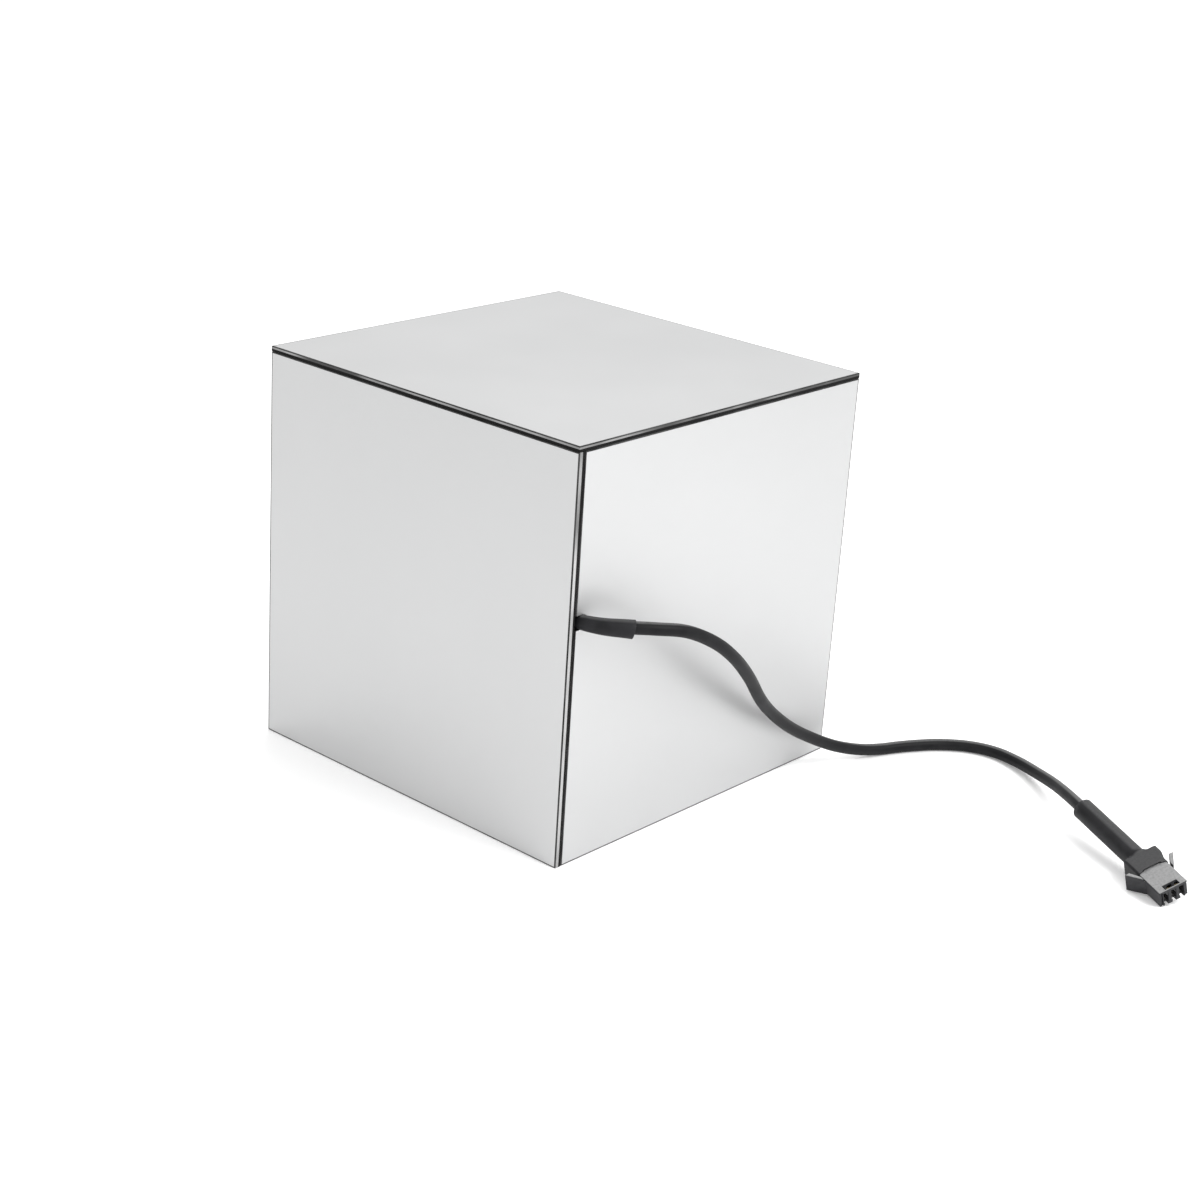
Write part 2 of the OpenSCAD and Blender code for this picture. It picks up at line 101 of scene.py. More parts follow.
# Plug housing and latch levers
LID = 0.5 * MM
RECESS_LENGTH = 8 * MM
CORE_WIDTH = 7.1 * MM
CONTACT_PITCH = 2.5 * MM
CAVITY_WIDTH = 1.5 * MM
CAVITY_HEIGHT = 3.4 * MM
CAVITY_BACK_WALL = 2 * MM
WINDOW = (1.7 * MM, 4.6 * MM)
WINDOW_SETBACK = 0.4 * MM
MOUTH_NOTCH = (1.4 * MM, 1 * MM)
LEVER_THICKNESS = 0.8 * MM
LEVER_ELBOW = -6.3 * MM
TAB_THICKNESS = 1.2 * MM
LID_GAP = 0.1 * MM
SQUEEZE_GAP = 0.3 * MM
MOULDED_BEVEL = 0.12 * MM
CUT_PAST = 0.5 * MM
PLUG_MERGE = 0.001 * MM

# Studio, with each light's place, target, side and power
FLOOR_SIZE = 12
FLOOR_DROP = 0.05 * MM
FLOOR_GLOW = 0.15
WORLD_STRENGTH = 0.95
SOFT_LIGHTS = {
    "overhead": ((-0.29, 0.4, 0.92), (0.19, 0.05, 0), 0.45, 2.2),
    "right": ((0.5, 0.1, 0.45), (0.18, 0.02, 0), 0.3, 2.5),
    "left": ((-0.25, -0.55, 0.5), (-0.1, -0.28, 0), 0.3, 0.5),
}


# ---------- shared modelling steps ----------

def deselect_all():
    """Leaves edit mode and clears the selection."""
    if bpy.context.mode != "OBJECT":
        bpy.ops.object.mode_set(mode="OBJECT")
    bpy.ops.object.select_all(action="DESELECT")


def make_active(piece):
    """Selects one piece and nothing else, in object mode."""
    deselect_all()
    piece.select_set(True)
    bpy.context.view_layer.objects.active = piece


def settle(piece):
    """Moves a piece's place and turn into its mesh, so that it sits at the origin."""
    make_active(piece)
    bpy.ops.object.transform_apply(location=True, rotation=True, scale=True)


def named(name):
    """Names the piece that was just added, and its mesh."""
    piece = bpy.context.active_object
    piece.name = piece.data.name = name
    return piece


def add_block(name, low, high):
    """A box between two corners."""
    low, high = Vector(low), Vector(high)
    deselect_all()
    bpy.ops.mesh.primitive_cube_add(size=1, location=(low + high) / 2, scale=high - low)
    piece = named(name)
    settle(piece)
    return piece


def add_rod(name, start, end, radius, corners=48):
    """A round bar from one point to another."""
    start, end = Vector(start), Vector(end)
    deselect_all()
    turn = (end - start).to_track_quat("Z", "Y").to_euler()
    bpy.ops.mesh.primitive_cylinder_add(vertices=corners, radius=radius, depth=(end - start).length,
                                        location=(start + end) / 2, rotation=turn)
    piece = named(name)
    settle(piece)
    return piece


def pick_faces(piece, wanted):
    """In edit mode, selects just the faces whose centre and normal are wanted."""
    make_active(piece)
    bpy.ops.object.mode_set(mode="EDIT")
    bpy.ops.mesh.select_mode(type="FACE")
    bpy.ops.mesh.select_all(action="DESELECT")
    bpy.ops.object.mode_set(mode="OBJECT")
    for face in piece.data.polygons:
        face.select = wanted(face.center, face.normal)
    bpy.ops.object.mode_set(mode="EDIT")


def pick_edges(piece, wanted):
    """In edit mode, selects just the edges whose two ends are wanted."""
    make_active(piece)
    bpy.ops.object.mode_set(mode="EDIT")
    bpy.ops.mesh.select_mode(type="EDGE")
    bpy.ops.mesh.select_all(action="DESELECT")
    bpy.ops.object.mode_set(mode="OBJECT")
    corners = piece.data.vertices
    for edge in piece.data.edges:
        edge.select = wanted(corners[edge.vertices[0]].co, corners[edge.vertices[1]].co)
    bpy.ops.object.mode_set(mode="EDIT")


def cut_away(piece, cutter):
    """Takes a cutter's shape out of a piece, and the cutter out of the scene."""
    make_active(piece)
    cut = piece.modifiers.new("cut", "BOOLEAN")
    cut.operation = "DIFFERENCE"
    cut.solver = "EXACT"
    cut.object = cutter
    bpy.ops.object.modifier_apply(modifier=cut.name)
    bpy.data.objects.remove(cutter)


def ease_edges(piece, width, segments=2, least_turn=30):
    """Rounds every edge that turns by more than least_turn degrees."""
    make_active(piece)
    bevel = piece.modifiers.new("ease", "BEVEL")
    bevel.width = width
    bevel.segments = segments
    bevel.limit_method = "ANGLE"
    bevel.angle_limit = math.radians(least_turn)
    bevel.use_clamp_overlap = True
    bpy.ops.object.modifier_apply(modifier=bevel.name)


def shade(piece, angle=35):
    """Smooth shading across edges that turn by less than angle degrees."""
    make_active(piece)
    bpy.ops.object.shade_smooth_by_angle(angle=math.radians(angle))


def level_flats(piece):
    """Keeps the shading of large flat faces level between their eased edges."""
    make_active(piece)
    weigh = piece.modifiers.new("level", "WEIGHTED_NORMAL")
    weigh.keep_sharp = True
    bpy.ops.object.modifier_apply(modifier=weigh.name)


def clean(piece, distance=0.00001 * MM):
    """Merges doubled points and turns every face outwards."""
    make_active(piece)
    bpy.ops.object.mode_set(mode="EDIT")
    bpy.ops.mesh.select_all(action="SELECT")
    bpy.ops.mesh.remove_doubles(threshold=distance)
    bpy.ops.mesh.normals_make_consistent(inside=False)
    bpy.ops.object.mode_set(mode="OBJECT")


# ---------- effects that several materials share ----------

def new_group(name, inputs, outputs):
    """An empty node group: inputs are (name, type, value) and outputs (name, type)."""
    group = bpy.data.node_groups.new(name, "ShaderNodeTree")
    for label, kind, value in inputs:
        socket = group.interface.new_socket(label, in_out="INPUT", socket_type=kind)
        socket.default_value = value
    for label, kind in outputs:
        group.interface.new_socket(label, in_out="OUTPUT", socket_type=kind)
    return group


def add_node(tree, kind, **settings):
    node = tree.nodes.new(kind)
    for setting, value in settings.items():
        setattr(node, setting, value)
    return node


def make_cloudy_tone():
    """Drifts between two colours in soft clouds. Scale is in clouds per metre."""
    group = new_group("Cloudy tone", [
        ("Scale", "NodeSocketFloat", 40),
        ("Contrast", "NodeSocketFloat", 0.5),
        ("First colour", "NodeSocketColor", (0.5, 0.5, 0.5, 1)),
        ("Second colour", "NodeSocketColor", (0.6, 0.6, 0.6, 1)),
    ], [("Colour", "NodeSocketColor"), ("Mask", "NodeSocketFloat")])
    link = group.links.new
    given = add_node(group, "NodeGroupInput")
    result = add_node(group, "NodeGroupOutput")
    place = add_node(group, "ShaderNodeTexCoord")
    clouds = add_node(group, "ShaderNodeTexNoise")
    clouds.inputs["Detail"].default_value = 3
    half_width = add_node(group, "ShaderNodeMath", operation="DIVIDE")
    half_width.inputs[0].default_value = 0.12
    low = add_node(group, "ShaderNodeMath", operation="SUBTRACT")
    low.inputs[0].default_value = 0.5
    high = add_node(group, "ShaderNodeMath", operation="ADD")
    high.inputs[0].default_value = 0.5
    spread = add_node(group, "ShaderNodeMapRange", interpolation_type="SMOOTHSTEP")
    mix = add_node(group, "ShaderNodeMix", data_type="RGBA")
    link(place.outputs["Object"], clouds.inputs["Vector"])
    link(given.outputs["Scale"], clouds.inputs["Scale"])
    link(given.outputs["Contrast"], half_width.inputs[1])
    link(half_width.outputs[0], low.inputs[1])
    link(half_width.outputs[0], high.inputs[1])
    link(clouds.outputs["Fac"], spread.inputs["Value"])
    link(low.outputs[0], spread.inputs["From Min"])
    link(high.outputs[0], spread.inputs["From Max"])
    link(spread.outputs["Result"], mix.inputs["Factor"])
    link(given.outputs["First colour"], mix.inputs[6])
    link(given.outputs["Second colour"], mix.inputs[7])
    link(mix.outputs[2], result.inputs["Colour"])
    link(spread.outputs["Result"], result.inputs["Mask"])
    return group


def make_fine_grain():
    """The height of a fine grain on top of a slow unevenness, both per metre."""
    group = new_group("Fine grain", [
        ("Grain scale", "NodeSocketFloat", 2000),
        ("Wave scale", "NodeSocketFloat", 60),
        ("Wave share", "NodeSocketFloat", 0.5),
    ], [("Height", "NodeSocketFloat")])
    link = group.links.new
    given = add_node(group, "NodeGroupInput")
    result = add_node(group, "NodeGroupOutput")
    place = add_node(group, "ShaderNodeTexCoord")
    grain = add_node(group, "ShaderNodeTexNoise")
    grain.inputs["Detail"].default_value = 2
    wave = add_node(group, "ShaderNodeTexNoise")
    wave.inputs["Detail"].default_value = 1
    mix = add_node(group, "ShaderNodeMix", data_type="FLOAT")
    link(place.outputs["Object"], grain.inputs["Vector"])
    link(place.outputs["Object"], wave.inputs["Vector"])
    link(given.outputs["Grain scale"], grain.inputs["Scale"])
    link(given.outputs["Wave scale"], wave.inputs["Scale"])
    link(given.outputs["Wave share"], mix.inputs["Factor"])
    link(grain.outputs["Fac"], mix.inputs[2])
    link(wave.outputs["Fac"], mix.inputs[3])
    link(mix.outputs[0], result.inputs["Height"])
    return group


def make_worn_edges():
    """A mask that is 1 on raised, rubbed edges and broken up by handling."""
    group = new_group("Worn edges", [
        ("Breakup scale", "NodeSocketFloat", 900),
        ("Amount", "NodeSocketFloat", 0.5),
    ], [("Mask", "NodeSocketFloat")])
    link = group.links.new
    given = add_node(group, "NodeGroupInput")
    result = add_node(group, "NodeGroupOutput")
    shape = add_node(group, "ShaderNodeNewGeometry")
    place = add_node(group, "ShaderNodeTexCoord")
    breakup = add_node(group, "ShaderNodeTexNoise")
    raised = add_node(group, "ShaderNodeMapRange", interpolation_type="SMOOTHSTEP")
    raised.inputs["From Min"].default_value = 0.52
    raised.inputs["From Max"].default_value = 0.62
    broken = add_node(group, "ShaderNodeMapRange")
    broken.inputs["From Min"].default_value = 0.35
    broken.inputs["From Max"].default_value = 0.65
    both = add_node(group, "ShaderNodeMath", operation="MULTIPLY")
    scaled = add_node(group, "ShaderNodeMath", operation="MULTIPLY", use_clamp=True)
    link(shape.outputs["Pointiness"], raised.inputs["Value"])
    link(place.outputs["Object"], breakup.inputs["Vector"])
    link(given.outputs["Breakup scale"], breakup.inputs["Scale"])
    link(breakup.outputs["Fac"], broken.inputs["Value"])
    link(raised.outputs["Result"], both.inputs[0])
    link(broken.outputs["Result"], both.inputs[1])
    link(both.outputs[0], scaled.inputs[0])
    link(given.outputs["Amount"], scaled.inputs[1])
    link(scaled.outputs[0], result.inputs["Mask"])
    return group


def make_dust_and_top_light():
    """A mask that is strongest where a surface faces up, in fine clumps: settled dust, and painted top light that
    lightens upward faces in place of their highlight.
    """
    group = new_group("Settled dust and painted top light", [
        ("Clump scale", "NodeSocketFloat", 1500),
        ("Amount", "NodeSocketFloat", 0.5),
    ], [("Mask", "NodeSocketFloat")])
    link = group.links.new
    given = add_node(group, "NodeGroupInput")
    result = add_node(group, "NodeGroupOutput")
    shape = add_node(group, "ShaderNodeNewGeometry")
    split = add_node(group, "ShaderNodeSeparateXYZ")
    place = add_node(group, "ShaderNodeTexCoord")
    clumps = add_node(group, "ShaderNodeTexNoise")
    # Faces turned up get the mask: settled dust, and painted top light in place of a highlight.
    level = add_node(group, "ShaderNodeMapRange", interpolation_type="SMOOTHSTEP")
    level.inputs["From Min"].default_value = 0.8
    level.inputs["From Max"].default_value = 0.98
    broken = add_node(group, "ShaderNodeMapRange")
    broken.inputs["From Min"].default_value = 0.3
    broken.inputs["From Max"].default_value = 0.6
    broken.inputs["To Min"].default_value = 0.75
    both = add_node(group, "ShaderNodeMath", operation="MULTIPLY")
    scaled = add_node(group, "ShaderNodeMath", operation="MULTIPLY", use_clamp=True)
    link(shape.outputs["Normal"], split.inputs["Vector"])
    link(split.outputs["Z"], level.inputs["Value"])
    link(place.outputs["Object"], clumps.inputs["Vector"])
    link(given.outputs["Clump scale"], clumps.inputs["Scale"])
    link(clumps.outputs["Fac"], broken.inputs["Value"])
    link(level.outputs["Result"], both.inputs[0])
    link(broken.outputs["Result"], both.inputs[1])
    link(both.outputs[0], scaled.inputs[0])
    link(given.outputs["Amount"], scaled.inputs[1])
    link(scaled.outputs[0], result.inputs["Mask"])
    return group


# ---------- materials ----------

def place_group(tree, group, **values):
    """Puts a node group in a material, with its own value on each named input."""
    node = tree.nodes.new("ShaderNodeGroup")
    node.node_tree = group
    for label, value in values.items():
        node.inputs[label.replace("_", " ")].default_value = value
    return node


def grey(level):
    return (level, level, level, 1)


def make_finish(name, first, second, cloud_scale, contrast=0.5, metallic=0, roughness=(0.4, 0.5),
                grain=2000, wave=60, wave_share=0.4, relief=0.02 * MM, strength=0.5, wear=None,
                wear_amount=0.5, dust_and_light=None, dust_and_light_amount=0.5, **sockets):
    """A material whose colour drifts from first to second and whose roughness drifts
    with it, over a fine grain. Wear, where given, is the colour of rubbed edges, and
    dust_and_light the colour of settled dust on top, which is also painted light on upward faces."""
    material = bpy.data.materials.new(name)
    material.use_nodes = True
    tree = material.node_tree
    link = tree.links.new
    surface = tree.nodes["Principled BSDF"]
    surface.inputs["Metallic"].default_value = metallic
    for label, value in sockets.items():
        surface.inputs[label.replace("_", " ")].default_value = value
    tone = place_group(tree, GROUPS["tone"], Scale=cloud_scale, Contrast=contrast,
                       First_colour=first, Second_colour=second)
    colour = tone.outputs["Colour"]
    if wear:
        edges = place_group(tree, GROUPS["wear"], Amount=wear_amount)
        worn = add_node(tree, "ShaderNodeMix", data_type="RGBA")
        worn.inputs[7].default_value = wear
        link(edges.outputs["Mask"], worn.inputs["Factor"])
        link(colour, worn.inputs[6])
        colour = worn.outputs[2]
    # Upward faces lighten: settled dust, and painted light standing in for a top highlight.
    if dust_and_light:
        dust_and_light_mask = place_group(tree, GROUPS["dust_and_light"], Amount=dust_and_light_amount)
        dusty_and_lit = add_node(tree, "ShaderNodeMix", data_type="RGBA")
        dusty_and_lit.inputs[7].default_value = dust_and_light
        link(dust_and_light_mask.outputs["Mask"], dusty_and_lit.inputs["Factor"])
        link(colour, dusty_and_lit.inputs[6])
        colour = dusty_and_lit.outputs[2]
    link(colour, surface.inputs["Base Color"])
    rough = add_node(tree, "ShaderNodeMapRange")
    rough.inputs["To Min"].default_value, rough.inputs["To Max"].default_value = roughness
    link(tone.outputs["Mask"], rough.inputs["Value"])
    link(rough.outputs["Result"], surface.inputs["Roughness"])
    texture = place_group(tree, GROUPS["grain"], Grain_scale=grain, Wave_scale=wave,
                          Wave_share=wave_share)
    bump = add_node(tree, "ShaderNodeBump")
    bump.inputs["Distance"].default_value = relief
    bump.inputs["Strength"].default_value = strength
    link(texture.outputs["Height"], bump.inputs["Height"])
    link(bump.outputs["Normal"], surface.inputs["Normal"])
    return material


def make_materials():
    """Every finish of the lamp, by name."""
    return {
        "mirror": make_finish(
            "satin mirror film", (0.54, 0.543, 0.545, 1), (0.563, 0.565, 0.567, 1), 14, metallic=1,
            roughness=(0.43, 0.47), grain=900, wave=22, wave_share=0.85, relief=0.03 * MM, strength=0.2),
        # The dark rim at the panel edges is painted shade, standing in for the film's shadow on its edge.
        "rim": make_finish(
            "film edge with painted shade", grey(0.015), grey(0.06), 90, contrast=0.7, roughness=(0.5, 0.65),
            grain=3500, relief=0.02 * MM, Specular_IOR_Level=0.12),
        # The sawn edge drifts between near black and light grey in clouds: painted sheen and shade, standing in
        # for light caught by the edge.
        "cut": make_finish(
            "sawn acrylic edge", grey(0.02), grey(0.42), 26, contrast=0.95, roughness=(0.4, 0.6),
            grain=5200, wave=300, relief=0.03 * MM),
        "backing": make_finish(
            "black film backing", grey(0.004), grey(0.009), 60, roughness=(0.6, 0.75), relief=0.01 * MM,
            Specular_IOR_Level=0.08),
        "foam": make_finish(
            "black foam tape", grey(0.008), grey(0.018), 400, roughness=(0.85, 0.95), grain=2600,
            wave_share=0.15, relief=0.1 * MM, strength=0.9, Specular_IOR_Level=0.1),
        "frame": make_finish(
            "dark extruded frame", (0.03, 0.03, 0.032, 1), (0.045, 0.045, 0.048, 1), 120,
            roughness=(0.4, 0.5), grain=2400, relief=0.02 * MM, wear=grey(0.16)),
        "corner": make_finish(
            "dark moulded corner", (0.024, 0.024, 0.026, 1), (0.036, 0.036, 0.038, 1), 150,
            roughness=(0.5, 0.6), grain=1800, relief=0.03 * MM, wear=grey(0.14)),
        "strip": make_finish(
            "white solder mask", (0.74, 0.74, 0.7, 1), (0.82, 0.82, 0.79, 1), 160, contrast=0.7,
            roughness=(0.3, 0.42), grain=3200, relief=0.01 * MM),
        "light": make_finish(
            "light package and phosphor", (0.86, 0.8, 0.42, 1), (0.9, 0.88, 0.72, 1), 420, contrast=0.9,
            roughness=(0.16, 0.3), grain=4200, relief=0.01 * MM, Coat_Weight=0.4),
        "red_wire": make_finish(
            "red wire insulation", (0.5, 0.03, 0.025, 1), (0.6, 0.05, 0.04, 1), 300,
            roughness=(0.35, 0.45), grain=3000, relief=0.01 * MM),
        "core_wire": make_finish(
            "green wire insulation", (0.05, 0.27, 0.09, 1), (0.08, 0.34, 0.12, 1), 300,
            roughness=(0.35, 0.45), grain=3000, relief=0.01 * MM),
        "nylon": make_finish(
            "natural nylon", (0.72, 0.72, 0.68, 1), (0.8, 0.8, 0.77, 1), 220, roughness=(0.32, 0.42),
            grain=1500, relief=0.02 * MM, Subsurface_Weight=0.15),
        # The lead's light top line is painted highlight from the dust-and-light mask, with a little dust.
        "jacket": make_finish(
            "black lead jacket", (0.007, 0.007, 0.008, 1), (0.014, 0.014, 0.015, 1), 160,
            roughness=(0.42, 0.54), grain=2600, wave=180, wave_share=0.55, relief=0.05 * MM,
            strength=0.55, dust_and_light=grey(0.2), dust_and_light_amount=0.5, Specular_IOR_Level=0.1),
        # The sleeves' tops are lightened by the dust-and-light mask: a little dust, and faint painted top light.
        "sleeve": make_finish(
            "black shrink sleeve", (0.01, 0.01, 0.011, 1), (0.018, 0.018, 0.02, 1), 210,
            roughness=(0.42, 0.56), grain=1900, wave=240, wave_share=0.6, relief=0.07 * MM,
            strength=0.6, wear=grey(0.06), wear_amount=0.5, dust_and_light=grey(0.12), dust_and_light_amount=0.35,
            Specular_IOR_Level=0.15),
        # The plug's light grey lid and lever tops are painted highlight from the dust-and-light mask at full
        # amount, with some dust.
        "plug": make_finish(
            "dark moulded nylon", (0.014, 0.014, 0.016, 1), (0.024, 0.024, 0.027, 1), 260,
            roughness=(0.34, 0.46), grain=2800, wave=400, relief=0.03 * MM, strength=0.5,
            wear=grey(0.08), wear_amount=0.2, dust_and_light=grey(0.27), dust_and_light_amount=1, Specular_IOR_Level=0.2),
        "brass": make_finish(
            "tinned brass", (0.7, 0.56, 0.3, 1), (0.78, 0.7, 0.52, 1), 500, contrast=0.8, metallic=1,
            roughness=(0.22, 0.36), grain=4000, relief=0.01 * MM),
    }


# The finish of each CAD node that stays, by how the node's name ends
CAD_FINISHES = [
    ("_tape", "foam"), ("_rail", "frame"), ("_post", "frame"), ("_corner", "corner"),
    ("_strip", "strip"), ("_lights", "light"), ("jumper_wires", "red_wire"),
    ("inner_wires", "core_wire"), ("plug_wires", "core_wire"), ("cable_tie", "nylon"),
    ("plug_contacts", "brass"),
]


def finish_cad_nodes(finishes):
    """Gives each CAD node that stays in the model its own finish."""
    for name, cad_node in frame["nodes"].items():
        for ending, finish in CAD_FINISHES:
            if name.endswith(ending):
                cad_node.data.materials.clear()
                cad_node.data.materials.append(finishes[finish])


# ---------- camera ----------

def make_camera():
    lens = bpy.data.cameras.new("camera")
    lens.lens = CAMERA_LENS
    lens.sensor_width = SENSOR_WIDTH
    lens.clip_start, lens.clip_end = 0.01, 50
    camera = bpy.data.objects.new("camera", lens)
    bpy.context.scene.collection.objects.link(camera)
    turn = (Matrix.Rotation(math.radians(CAMERA_AZIMUTH), 4, "Z")
            @ Matrix.Rotation(math.radians(90 - CAMERA_ELEVATION), 4, "X")
            @ Matrix.Rotation(math.radians(CAMERA_ROLL), 4, "Z"))
    camera.matrix_world = Matrix.Translation(CAMERA_PLACE) @ turn
    bpy.context.scene.camera = camera


# ---------- lead ----------

def route_point(index):
    """A point of the lead's route; past an end, the end itself."""
    index = min(max(index, 0), len(LEAD_ROUTE) - 1)
    return Vector(LEAD_ROUTE[index]) * MM


def route_place(position):
    """A place on the lead's smooth line; whole numbers are the route's points."""
    i = min(int(position), len(LEAD_ROUTE) - 2)
    t = position - i
    a, b, c, d = (route_point(i + k) for k in (-1, 0, 1, 2))
    return 0.5 * (2 * b + (c - a) * t + (2 * a - 5 * b + 4 * c - d) * t * t
                  + (3 * b - 3 * c + d - a) * t * t * t)


def make_lead():
    """The lead as one smooth curve through the route's points."""
    curve = bpy.data.curves.new("lead", "CURVE")
    curve.dimensions = "3D"
    curve.bevel_depth = LEAD_DIAMETER / 2
    curve.bevel_resolution = 8
    curve.resolution_u = 8
    curve.use_fill_caps = True
    line = curve.splines.new("BEZIER")
    line.bezier_points.add(len(LEAD_ROUTE) - 1)
    for i, point in enumerate(line.bezier_points):
        reach = (route_point(i + 1) - route_point(i - 1)) / 6
        point.handle_left_type = point.handle_right_type = "FREE"
        point.co = route_point(i)
        for side, handle in (("handle_left", route_point(i) - reach),
                             ("handle_right", route_point(i) + reach)):
            handle.z = max(handle.z, LEAD_DIAMETER / 2)
            setattr(point, side, handle)
    lead = bpy.data.objects.new("lead", curve)
    bpy.context.scene.collection.objects.link(lead)
    return lead


# ---------- mirror panels ----------

def slice_across(piece, point, normal):
    """Cuts edges all round a piece where a plane passes through it."""
    make_active(piece)
    bpy.ops.object.mode_set(mode="EDIT")
    bpy.ops.mesh.select_all(action="SELECT")
    bpy.ops.mesh.bisect(plane_co=point, plane_no=normal)
    bpy.ops.object.mode_set(mode="OBJECT")


def make_panel(node, outward, finishes, notch=None):
    """A mirror panel: film on the outside with a dark, eased rim of painted shade, a sawn acrylic
    edge with painted sheen, and a black backing. A notch is a list of cutters."""
    low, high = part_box(node)
    out = Vector(outward)
    if out.z > 0:
        low = low + Vector((0, 0, TOP_TRIM))
    elif out.z == 0:
        high = high + Vector((0, 0, UPRIGHT_LIFT))
    outer = high if out.dot(high) > out.dot(low) else low
    piece = add_block(node.replace("panel", "mirror"), low, high)

    def depth(place):
        return (outer - place).dot(out)

    thickness = abs((high - low).dot(out))
    pick_edges(piece, lambda a, b: depth(a) < RIM_BEVEL / 4 and depth(b) < RIM_BEVEL / 4)
    bpy.ops.mesh.bevel(offset=RIM_BEVEL, segments=2, affect="EDGES")
    pick_faces(piece, lambda centre, normal: normal.dot(out) > 0.99)
    bpy.ops.mesh.inset(thickness=RIM_MARGIN - RIM_BEVEL)
    slice_across(piece, outer - out * RIM_LINE, out)
    slice_across(piece, outer - out * (thickness - BACKING), out)
    middle = (low + high) / 2
    # The eased rim and the first RIM_LINE of the sawn edge take the dark edge finish, painted shade; the rest of
    # the sawn edge takes the cut finish, with painted sheen.
    for finish in ("mirror", "rim", "cut", "backing"):
        piece.data.materials.append(finishes[finish])
    for face in piece.data.polygons:
        below = depth(face.center)
        if face.normal.dot(out) > 0.99 and (face.center - middle).length < thickness:
            face.material_index = 0
        elif below < RIM_LINE:
            face.material_index = 1
        elif below < thickness - BACKING:
            face.material_index = 2
        else:
            face.material_index = 3
    for cutter in notch or []:
        cut_away(piece, cutter)
    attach(piece, "lamp")
    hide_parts(node)
    return piece


def exit_notch():
    """Cutters for the space that the sleeved lead takes at the right panel's edge."""
    low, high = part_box("right_panel")
    centre = route_place(EXIT_POINT) + Vector((0, NOTCH_SHIFT, 0))
    radius = SLEEVE_ROOT_DIAMETER / 2 + NOTCH_GAP
    start = (low.x - CUT_PAST, centre.y, centre.z)
    end = (high.x + CUT_PAST, centre.y, centre.z)
    slot = add_block("slot", (low.x - CUT_PAST, low.y - CUT_PAST, centre.z - radius),
                     (high.x + CUT_PAST, centre.y, centre.z + radius))
    return [add_rod("bore", start, end, radius), slot]


def make_panels(finishes):
    make_panel("top_panel", (0, 0, 1), finishes)
    make_panel("bottom_panel", (0, 0, -1), finishes)
    make_panel("front_panel", (0, -1, 0), finishes)
    make_panel("right_panel", (1, 0, 0), finishes, exit_notch())
    make_panel("back_panel", (0, 1, 0), finishes)
    make_panel("left_panel", (-1, 0, 0), finishes)


# ---------- exit sleeve ----------

def sleeve_stations():
    """Centre and radius of each ring of the exit sleeve, from the panel outwards."""
    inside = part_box("exit_sleeve")[0].x
    exit_place = route_place(EXIT_POINT)
    start = EXIT_POINT - 1
    fine = [route_place(start + k / FINE_STEPS) for k in range(SLEEVE_STRETCHES * FINE_STEPS)]
    fine = [p for p in fine if p.x >= inside and (p - exit_place).length <= SLEEVE_LENGTH]
    chosen = [fine[round(k * (len(fine) - 1) / SLEEVE_STEPS)] for k in range(SLEEVE_STEPS + 1)]
    stations = []
    for k, place in enumerate(chosen):
        share = k / SLEEVE_STEPS
        radius = (SLEEVE_ROOT_DIAMETER + share * (SLEEVE_END_DIAMETER - SLEEVE_ROOT_DIAMETER)) / 2
        sag = SLEEVE_SAG * share * share
        stations.append((place - Vector((0, 0, sag)), radius))
    return stations


def heading_of(places, i):
    """The compass direction of a line of places at one of them, in radians."""
    ahead = places[min(i + 1, len(places) - 1)] - places[max(i - 1, 0)]
    return math.atan2(ahead.y, ahead.x)


def make_exit_sleeve(finishes):
    """A shrink sleeve that hugs the lead at the panel and flares to a slanted cut end."""
    stations = sleeve_stations()
    places = [place for place, radius in stations]
    heading = heading_of(places, 0)
    deselect_all()
    bpy.ops.mesh.primitive_circle_add(
        vertices=48, radius=stations[0][1], location=places[0],
        rotation=(math.pi / 2, 0, heading + math.pi / 2))
    piece = named("exit_sleeve_skin")
    settle(piece)
    bpy.ops.object.mode_set(mode="EDIT")
    bpy.ops.mesh.select_mode(type="EDGE")
    bpy.ops.mesh.select_all(action="SELECT")
    for i in range(1, len(stations)):
        turned = heading_of(places, i) - heading
        heading += turned
        grow = stations[i][1] / stations[i - 1][1]
        bpy.ops.mesh.extrude_region_move(
            TRANSFORM_OT_translate={"value": places[i] - places[i - 1]})
        bpy.ops.transform.resize(value=(grow, grow, grow), center_override=places[i])
        bpy.ops.object.mode_set(mode="OBJECT")
        turn = Matrix.Rotation(turned, 3, "Z")
        for corner in piece.data.vertices:
            if corner.select:
                corner.co = places[i] + turn @ (corner.co - places[i])
        bpy.ops.object.mode_set(mode="EDIT")
    bpy.ops.object.mode_set(mode="OBJECT")
    end, end_radius = stations[-1]
    along = Vector((math.cos(heading), math.sin(heading), 0))
    for corner in piece.data.vertices:
        if corner.select:
            corner.co += along * SLEEVE_SLANT / 2 * (corner.co.z - end.z) / end_radius
    clean(piece)
    wall = piece.modifiers.new("wall", "SOLIDIFY")
    wall.thickness = SLEEVE_WALL
    wall.offset = -1
    bpy.ops.object.modifier_apply(modifier=wall.name)
    ease_edges(piece, SLEEVE_EASE, least_turn=50)
    shade(piece)
    piece.data.materials.append(finishes["sleeve"])
    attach(piece, "lamp")
    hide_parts("exit_sleeve")
    return piece


# ---------- plug ----------

